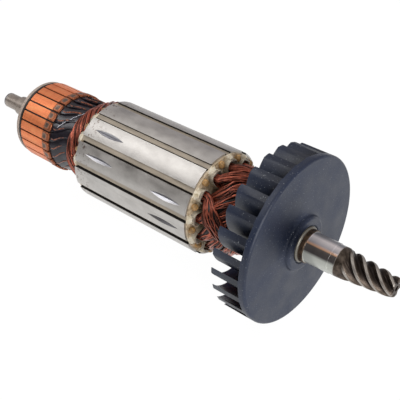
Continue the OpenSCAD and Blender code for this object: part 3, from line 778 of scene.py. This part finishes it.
class ARMATURE_OT_winding(bpy.types.Operator):
    """Builds the coils as bundles of wire"""
    bl_idname = "armature.winding"
    bl_label = "Winding"

    def execute(self, context):
        s = context.scene.armature_winding
        material = winding_wire(colour(context, "wire"))
        rng = np.random.default_rng(s.seed)
        mid, half = (s.out_r + s.in_r) / 2, (s.out_r - s.in_r) / 2
        sweep = 5 * SLOT_PITCH

        def head(t, end_x, way, reach, bulge, drop):
            """Centre line of a head: radius bulges at the slots and drops to the shaft, x rises and returns.

            The bundle is as wide and thick as a coil side in the slots, and past them fills the room beside
            its neighbour, which is the slots' pitch seen across the line.
            """
            (s1, c1), (s2, c2) = ((np.sin(n * np.pi * t), np.cos(n * np.pi * t)) for n in (1, 2))
            r = mid + half * c1 + bulge * s2 - drop * s1 ** 2
            dr = np.pi * (-half * s1 + 2 * bulge * c2 - drop * s2)
            dx = np.pi * reach * c1
            rise = np.hypot(dr, dx)
            room = r * rad(SLOT_PITCH) * rise / np.hypot(rise, r * rad(sweep))
            side_w, side_t = np.where(t < 0.5, 1.9, 1.45), np.where(t < 0.5, 1.7, 1.5)
            free = ease(0, 0.16, np.minimum(t, 1 - t))
            return np.stack([end_x + way * (3.8 + reach * s1), r, -sweep * t, way * -dr / rise, dx / rise,
                             side_w + free * (0.56 * room - side_w), side_t + free * (1.25 - side_t)])

        t1, t2 = np.linspace(0, 1, 60), np.linspace(1, 0, 44)
        path = np.concatenate([head(t1, CORE_X1, 1, s.fan_overhang, 1.5, 4.6),
                               head(t2, CORE_X0, -1, s.comm_overhang, 0.8, 1.5)], axis=1)
        share = np.concatenate([t1, t2])
        fan_side = np.concatenate([np.ones(len(t1)), np.zeros(len(t2))])
        free = ease(0.02, 0.2, np.minimum(share, 1 - share))
        along = 2 * np.pi * np.arange(len(share)) / len(share)
        # Strengths of the waves by which a wire wanders round its bundle, and in and out of it
        wandering = {n: 0.34 / n ** 0.6 for n in (1, 2, 3, 5, 8, 11)}
        lifting = {n: 0.5 for n in (3, 5, 8, 13)}

        def waves(strengths):
            """Sum of sines along the coil, each with a random strength and phase."""
            return sum(rng.normal(0, strength) * np.sin(n * along + rng.uniform(0, 6.3))
                       for n, strength in strengths.items())

        for k in range(SLOT_COUNT):
            x, r, a, nx, nr, width, thick = path.copy()
            # The last coil was wound over its neighbours: its second side leaves the slot on top of another's
            # first side, which lies lower to make room
            if k == s.top_coil:
                r += fan_side * 7.4 * ease(0.38, 0.74, share) * (1 - 0.45 * ease(0.86, 1.0, share))
                width += fan_side * 0.7 * ease(0.5, 0.9, share)
            if k == (s.top_coil + 7) % SLOT_COUNT:
                r -= fan_side * 2.4 * (1 - ease(0.02, 0.25, share))
            turn = rad(a + s.index + SLOT_PITCH * (k + 0.5))
            centre = at(x, r + swell(x, turn), turn)
            up = at(nx, nr, turn)
            across, upright = crosswise(centre, up, closed=True)
            coil = Surface()
            # The core tube under the wires carries a low value, which the finish paints near black as the
            # shade between the wires
            coil.add(tube(centre, width * 0.8, thick * 0.7, up, 10, closed=True), wrap_rows=True, value=-1.5)
            for w in range(s.wires + s.strays):
                wander = waves(wandering)
                stand_off = 0.22 if w >= s.wires else 0.0
                lift = 1 + (0.12 * waves(lifting) + stand_off) * free
                psi = 2 * np.pi * (w + 0.5) / s.wires + wander + 0.5 * np.sin(along)
                out = (width - s.wire_d / 2) * np.cos(psi) * lift
                high = (thick - s.wire_d / 2) * np.sin(psi) * lift
                line = centre + out[:, None] * across + high[:, None] * upright
                coil.add(tube(line, s.wire_d / 2, s.wire_d / 2, up, 5, closed=True), wrap_rows=True,
                         value=rng.uniform(0.0, 1.0))
            coil.finish(f"coil_wires_{k + 1}", material, [f"coil_{k + 1}"], 80.0, "tint")
        return {"FINISHED"}


class ARMATURE_OT_leads(bpy.types.Operator):
    """Builds the leads between the hooks and the coils, set in varnish"""
    bl_idname = "armature.leads"
    bl_label = "Leads"

    def execute(self, context):
        s = context.scene.armature_winding
        rng = np.random.default_rng(s.seed + 20)
        x1, x2 = HOOK_X1, CORE_X0 - 12.4
        # Keys along a lead: station, radius, angle, half width
        keys = np.array([[x1 - 1.4, 16.7, 0.0, 1.2], [x1 - 0.2, 16.75, 0.0, 1.7],
                         [x1 + 0.8, 16.55, -1.5, 2.0], [x1 + 2.6, 15.9, -6.0, 2.1],
                         [x1 + 5.2, 15.0, -13.0, 2.05], [x2, 14.4, -19.0, 2.0], [x2 + 1.8, 14.3, -23.0, 1.6]])
        t = np.linspace(0, len(keys) - 1, 31)
        smooth = np.stack([np.interp(t, np.arange(len(keys)), key) for key in keys.T], axis=-1)
        smooth[1:-1] = (smooth[:-2] + 2 * smooth[1:-1] + smooth[2:]) / 4
        x, low, a, w = smooth.T
        way = np.clip((x - x1) / (x2 - x1), 0, 1)
        leads = Surface()
        for i in range(BAR_COUNT):
            turn = rad(a + s.index + BAR_PITCH * (i + 0.5) + rng.normal(0, 1.2) * way)
            r = low + swell(x, turn) * way
            tilt = turn - rad((9.0 + rng.normal(0, 3.0)) * np.clip(way * 3, 0, 1))
            up = at(0.45 * way, 1.0, tilt)
            leads.add(tube(at(x, r, turn), w, 0.35, up, 10, power=3.0))
            # The wire itself shows as a ridge along the raised edge, and sinks into the varnish at both ends
            rise = r + 0.75 * np.sin(np.pi * np.clip((way - 0.02) / 0.9, 0, 1)) ** 0.6 - 0.15
            ridge = at(x, rise, turn + 1.5 * np.clip(way * 5, 0.3, 1) / r)[4:]
            last = rng.uniform(0.45, 0.8)
            edge = rng.uniform(0.6, 1.0) * ease(0.02, 0.12, way) * (1 - ease(last, last + 0.2, way))
            leads.add(tube(ridge, 0.3, 0.42, up[4:], 8), value=edge[4:, None])
        # A thin tube lies across the leads, down into the hollow, and is painted pale as the highlight of a
        # glossy streak on the varnish
        v = np.linspace(0, 1, 40)
        turn = rad(144.0 - 46.0 * v)
        streak_x = x1 + 2.2 + (x2 - x1 - 1.6) * v
        r = np.interp(streak_x, x, low) + 0.62 + 0.12 * np.sin(37 * v)
        streak_width = 0.09 + 0.09 * np.sin(23 * v) ** 2
        leads.add(tube(at(streak_x, r, turn), streak_width, 0.1, at(0.0, 1.0, turn), 6), value=-1.0)
        material = lead_varnish(colour(context, "varnish"))
        leads.finish("lead_strips", material, ["lead_wires"], 60.0, "edge")
        return {"FINISHED"}


def insulator(node, end_x, way, material, rng):
    """One end's insulator: a ring, a spoke and a pebble-shaped post on each tooth, a tongue over each slot.

    A tongue's half angle narrows with the square of its length, and its edges waver by small sines.
    """
    piece = Surface()
    plate_t, plate_tan, post_r = 0.8, 0.45, 19.25
    for low, high in ((7.6, 9.4), (18.4, 21.1)):
        ring = [(end_x, low), (end_x, high), (end_x + way * plate_t, high), (end_x + way * plate_t, low)]
        piece.add(around(np.array(ring), 144), wrap_rows=True, value=plate_tan)
    v = np.linspace(-1, 1, 11)
    pebble = np.sqrt(np.clip(1 - v ** 2, 0, 1)) + 0.02
    t = np.linspace(0, 1, 9)[:, None]
    arc = np.concatenate([v, v[::-1]])
    inner = np.repeat([0.0, 1.0], len(v))
    for i in range(SLOT_COUNT):
        tooth = rad(INDEX + SLOT_PITCH * i)
        out = at(0.0, 1.0, tooth)
        spoke = at(end_x + way * plate_t / 2, np.array([8.5, 19.0]), tooth)
        piece.add(tube(spoke, 2.8, 0.56, np.tile([way, 0.0, 0.0], (2, 1)), 4), value=plate_tan)
        post = at(end_x + way * (1.5 + 1.4 * v), post_r + rng.normal(0, 0.12), tooth)
        tall = 1.6 + rng.normal(0, 0.08)
        piece.add(tube(post, 1.4 * pebble, tall * pebble, np.tile(out, (len(v), 1)), 16), value=1.0)
        long, wide, skew = 1.0 - 0.22 * rng.random(), rng.normal(1.0, 0.08), rng.normal(0, 0.8)
        half = wide * (3.6 + 5.6 * (1 - t) ** 2) + 0.5 * np.sin(9 * t + 6 * rng.random(t.shape))
        r = CORE_R - 0.8 - 0.9 * t ** 2 - 0.5 * np.abs(arc) ** 4 - inner * (1.2 - 0.5 * t)
        x = end_x + way * (0.1 + 2.75 * long * t - 0.3 * t * arc ** 2)
        piece.add(at(x, r, rad(INDEX + SLOT_PITCH * (i + 0.5) + skew * t + arc * half)))
    piece.finish(node.replace("insulator", "insulator_shaped"), material, [node], 50.0, "tan")


class ARMATURE_OT_core(bpy.types.Operator):
    """Builds the two insulators and finishes the core, the slots' liners and strips and the sleeve"""
    bl_idname = "armature.core"
    bl_label = "Core and insulation"

    def execute(self, context):
        dress("core_stack", lamination_steel(colour(context, "sheets")))
        fibre = insulator_fibre(colour(context, "fibre"))
        rng = np.random.default_rng(12)
        insulator("fan_end_insulator", CORE_X1, 1.0, fibre, rng)
        insulator("commutator_end_insulator", CORE_X0, -1.0, fibre, rng)
        dress("slot_liners", liner_paper(colour(context, "paper")))
        dress("slot_wedges", wedge_strip(colour(context, "strip")))
        dress("shaft_sleeve", sleeve_plastic(colour(context, "sleeve")))
        return {"FINISHED"}


class ARMATURE_OT_commutator(bpy.types.Operator):
    """Builds the commutator's bars and staked hooks, and finishes its resin body"""
    bl_idname = "armature.commutator"
    bl_label = "Commutator"

    def execute(self, context):
        # Bars: an arc of the track above and of a smaller radius below, with a chamfer at both ends
        bars = Surface()
        top = np.linspace(-1, 1, 9)
        arc = np.concatenate([top, np.linspace(1, -1, 5)])
        outer = np.repeat([1.0, 0.0], [9, 5])
        ends = [(BAR_X0, 0.25), (BAR_X0 + 0.25, 0.0), (BAR_X1 - 1.6, 0.0), (BAR_X1 - 1.2, 0.6)]
        x, inset = np.array(ends).T[..., None]
        root_r, half_joint = 15.2, 0.3
        r = np.where(outer > 0, TRACK_R - inset, root_r)
        gap, eased = np.degrees(half_joint / r), np.where(np.abs(arc) == 1, 0.25, 0.0) * outer
        half = BAR_PITCH / 2 - gap - eased
        for i in range(BAR_COUNT):
            bars.add(at(x, r, rad(INDEX + BAR_PITCH * (i + 0.5) + arc * half)))
        bars.finish("commutator_bars", commutator_copper(colour(context, "copper")),
                    [f"commutator_bar_{i + 1}" for i in range(BAR_COUNT)], 40.0)
        dress("commutator_hub", moulding_resin(colour(context, "resin")))

        # Hooks: a pillow over each tang, a rounded bar with a shallow oval dent on its top
        rng = np.random.default_rng(7)
        hooks = Surface()
        v = np.linspace(-1, 1, 17)
        full = np.clip(np.sqrt(np.clip(1 - np.abs(v) ** 5, 0, 1)) + 0.02, 0, 1)
        centre = at(HOOK_X1 - 2.3 + 2.2 * v, 17.45, 0.0)
        pillow = tube(centre, 2.0 * full, 0.6 * full, np.tile([0.0, 1.0, 0.0], (len(v), 1)), 20, power=4.0)
        for i in range(BAR_COUNT):
            grid = pillow.copy()
            shift_x, shift_z = rng.normal(0, 0.25, 2)
            off_x, off_z = grid[..., 0] - (HOOK_X1 - 2.5 + shift_x), grid[..., 2] - 0.4 * shift_z
            oval = np.hypot(off_x / 1.7, off_z / 1.35)
            dent = (1 - ease(0.5, 1.2, oval)) * (grid[..., 1] > 17.5)
            grid[..., 1] -= 0.22 * dent
            hooks.add(spun(grid, rad(INDEX + BAR_PITCH * (i + 0.5))), value=dent)
        material = staked_hook(colour(context, "tang"))
        hooks.finish("hook_tangs", material, (), 50.0, "dent")
        return {"FINISHED"}


def rays(nodes, *kinds):
    """1 for rays of the named kinds, else 0."""
    seen, *others = (nodes.add("LightPath", output=f"Is {kind} Ray") for kind in kinds)
    for other in others:
        seen = seen.math("MAXIMUM", other)
    return seen


def stand(scene, thing, name, axes, place):
    """Puts a lamp or camera at a place in metres, with its own x, y and z along three axes."""
    holder = bpy.data.objects.new(name, thing)
    turn = np.eye(4)
    turn[:3, :3], turn[:3, 3] = np.transpose(axes), place
    holder.matrix_world = Matrix(turn.tolist())
    scene.collection.objects.link(holder)
    return holder


class ARMATURE_OT_stage(bpy.types.Operator):
    """Sets the floor, the lamps, the sky and the camera"""
    bl_idname = "armature.stage"
    bl_label = "Stage"

    def execute(self, context):
        scene = context.scene
        s = scene.armature_stage
        # Floor: white paper that glows for the camera and for mirrors, and is lit as paper for all other rays
        mesh = bpy.data.meshes.new("floor")
        half, z = 3.0, s.floor_z * MM
        corners = [(-half, -half, z), (half, -half, z), (half, half, z), (-half, half, z)]
        mesh.from_pydata(corners, [], [(0, 1, 2, 3)])
        floor = bpy.data.objects.new("floor", mesh)
        scene.collection.objects.link(floor)
        paper = Finish("white paper sweep", Base_Color="E6E6E6", Roughness=0.9)
        lit = Value(paper, paper.tree.nodes["Principled BSDF"].outputs[0])
        glow = paper.add("Emission", {"Color": "FFFFFF", "Strength": s.paper_glow})
        share = rays(paper, "Camera", "Transmission", "Glossy") * 0.93
        joined = paper.add("MixShader", {0: share, 1: lit, 2: glow})
        paper.plug(paper.tree.nodes["Material Output"].inputs["Surface"], joined)
        mesh.materials.append(paper.material)

        # Sky: soft grey, lighter above, with a darker stretch low on the camera's side that the metal mirrors
        scene.world = bpy.data.worlds.new("studio")
        scene.world.use_nodes = True
        nodes = Nodes(scene.world.node_tree)
        direction = nodes.add("TexCoord", output="Generated")
        toward, height = (nodes.add("SeparateXYZ", {0: direction}, output=axis) for axis in (1, 2))
        shade = nodes.tones(nodes.share(height, -0.2, 0.9), None, (0.0, "8E9096"), (0.3, "A2A2AA"),
                            (0.6, "A9A5A8"), (0.8, "B6AFAE"), (1.0, "D2CFCC"))
        front = nodes.share(toward, -0.05, -0.55, "SMOOTHSTEP")
        low = nodes.share(height, 0.72, 0.58, "SMOOTHSTEP")
        seen = rays(nodes, "Camera", "Transmission")
        shade = nodes.layers(shade, (front * low, "5A5552"), (seen, "FFFFFF"))
        nodes.plug(nodes.tree.nodes["Background"].inputs["Color"], shade)

        aim = np.array((-0.07, 0.0, 0.0))
        for name, place, width, power in (("key", (-0.30, -0.14, 0.42), 0.22, s.key_power),
                                          ("fill", (0.50, -0.30, 0.22), 0.30, s.fill_power),
                                          ("side", (-0.42, -0.16, 0.20), 0.16, s.side_power)):
            lamp = bpy.data.lights.new(name, "AREA")
            lamp.shape, lamp.size, lamp.energy = "SQUARE", width, power
            back = place - aim
            back /= np.linalg.norm(back)
            right = np.cross((0, 0, 1), back)
            right /= np.linalg.norm(right)
            stand(scene, lamp, name, (right, np.cross(back, right), back), place)

        # Camera, its axes as the fit to the photograph gave them
        lens = bpy.data.cameras.new("camera")
        lens.lens, lens.sensor_width, lens.clip_start = s.focal, 36.0, 0.01
        axes = ((0.75802, 0.65223, 0.0), (-0.37531, 0.43619, 0.81785), (0.53343, -0.61995, 0.57541))
        scene.camera = stand(scene, lens, "camera", axes, np.array(s.camera_at) * MM)
        scene.view_settings.view_transform = "Standard"
        return {"FINISHED"}


class ARMATURE_PT_panel(bpy.types.Panel):
    """Lists the pieces of the armature"""
    bl_idname = "ARMATURE_PT_panel"
    bl_label = "Armature"
    bl_space_type = "VIEW_3D"
    bl_region_type = "UI"
    bl_category = "Armature"

    def draw(self, context):
        for operator in OPERATORS:
            self.layout.operator(operator.bl_idname)


OPERATORS = (ARMATURE_OT_shaft, ARMATURE_OT_bush, ARMATURE_OT_fan, ARMATURE_OT_winding, ARMATURE_OT_leads,
             ARMATURE_OT_core, ARMATURE_OT_commutator, ARMATURE_OT_stage)
SETTINGS = {"armature_colour": ArmatureColourSettings, "armature_shaft": ArmatureShaftSettings,
            "armature_fan": ArmatureFanSettings, "armature_winding": ArmatureWindingSettings,
            "armature_stage": ArmatureStageSettings}


def register():
    for group in (*SETTINGS.values(), *OPERATORS, ARMATURE_PT_panel):
        bpy.utils.register_class(group)
    for name, group in SETTINGS.items():
        setattr(bpy.types.Scene, name, PointerProperty(type=group))


def unregister():
    for name in SETTINGS:
        delattr(bpy.types.Scene, name)
    for group in (ARMATURE_PT_panel, *reversed(OPERATORS), *reversed(tuple(SETTINGS.values()))):
        bpy.utils.unregister_class(group)


def main():
    register()
    for operator in OPERATORS:
        getattr(bpy.ops.armature, operator.bl_idname.split(".")[1])()


if __name__ == "__main__":
    main()
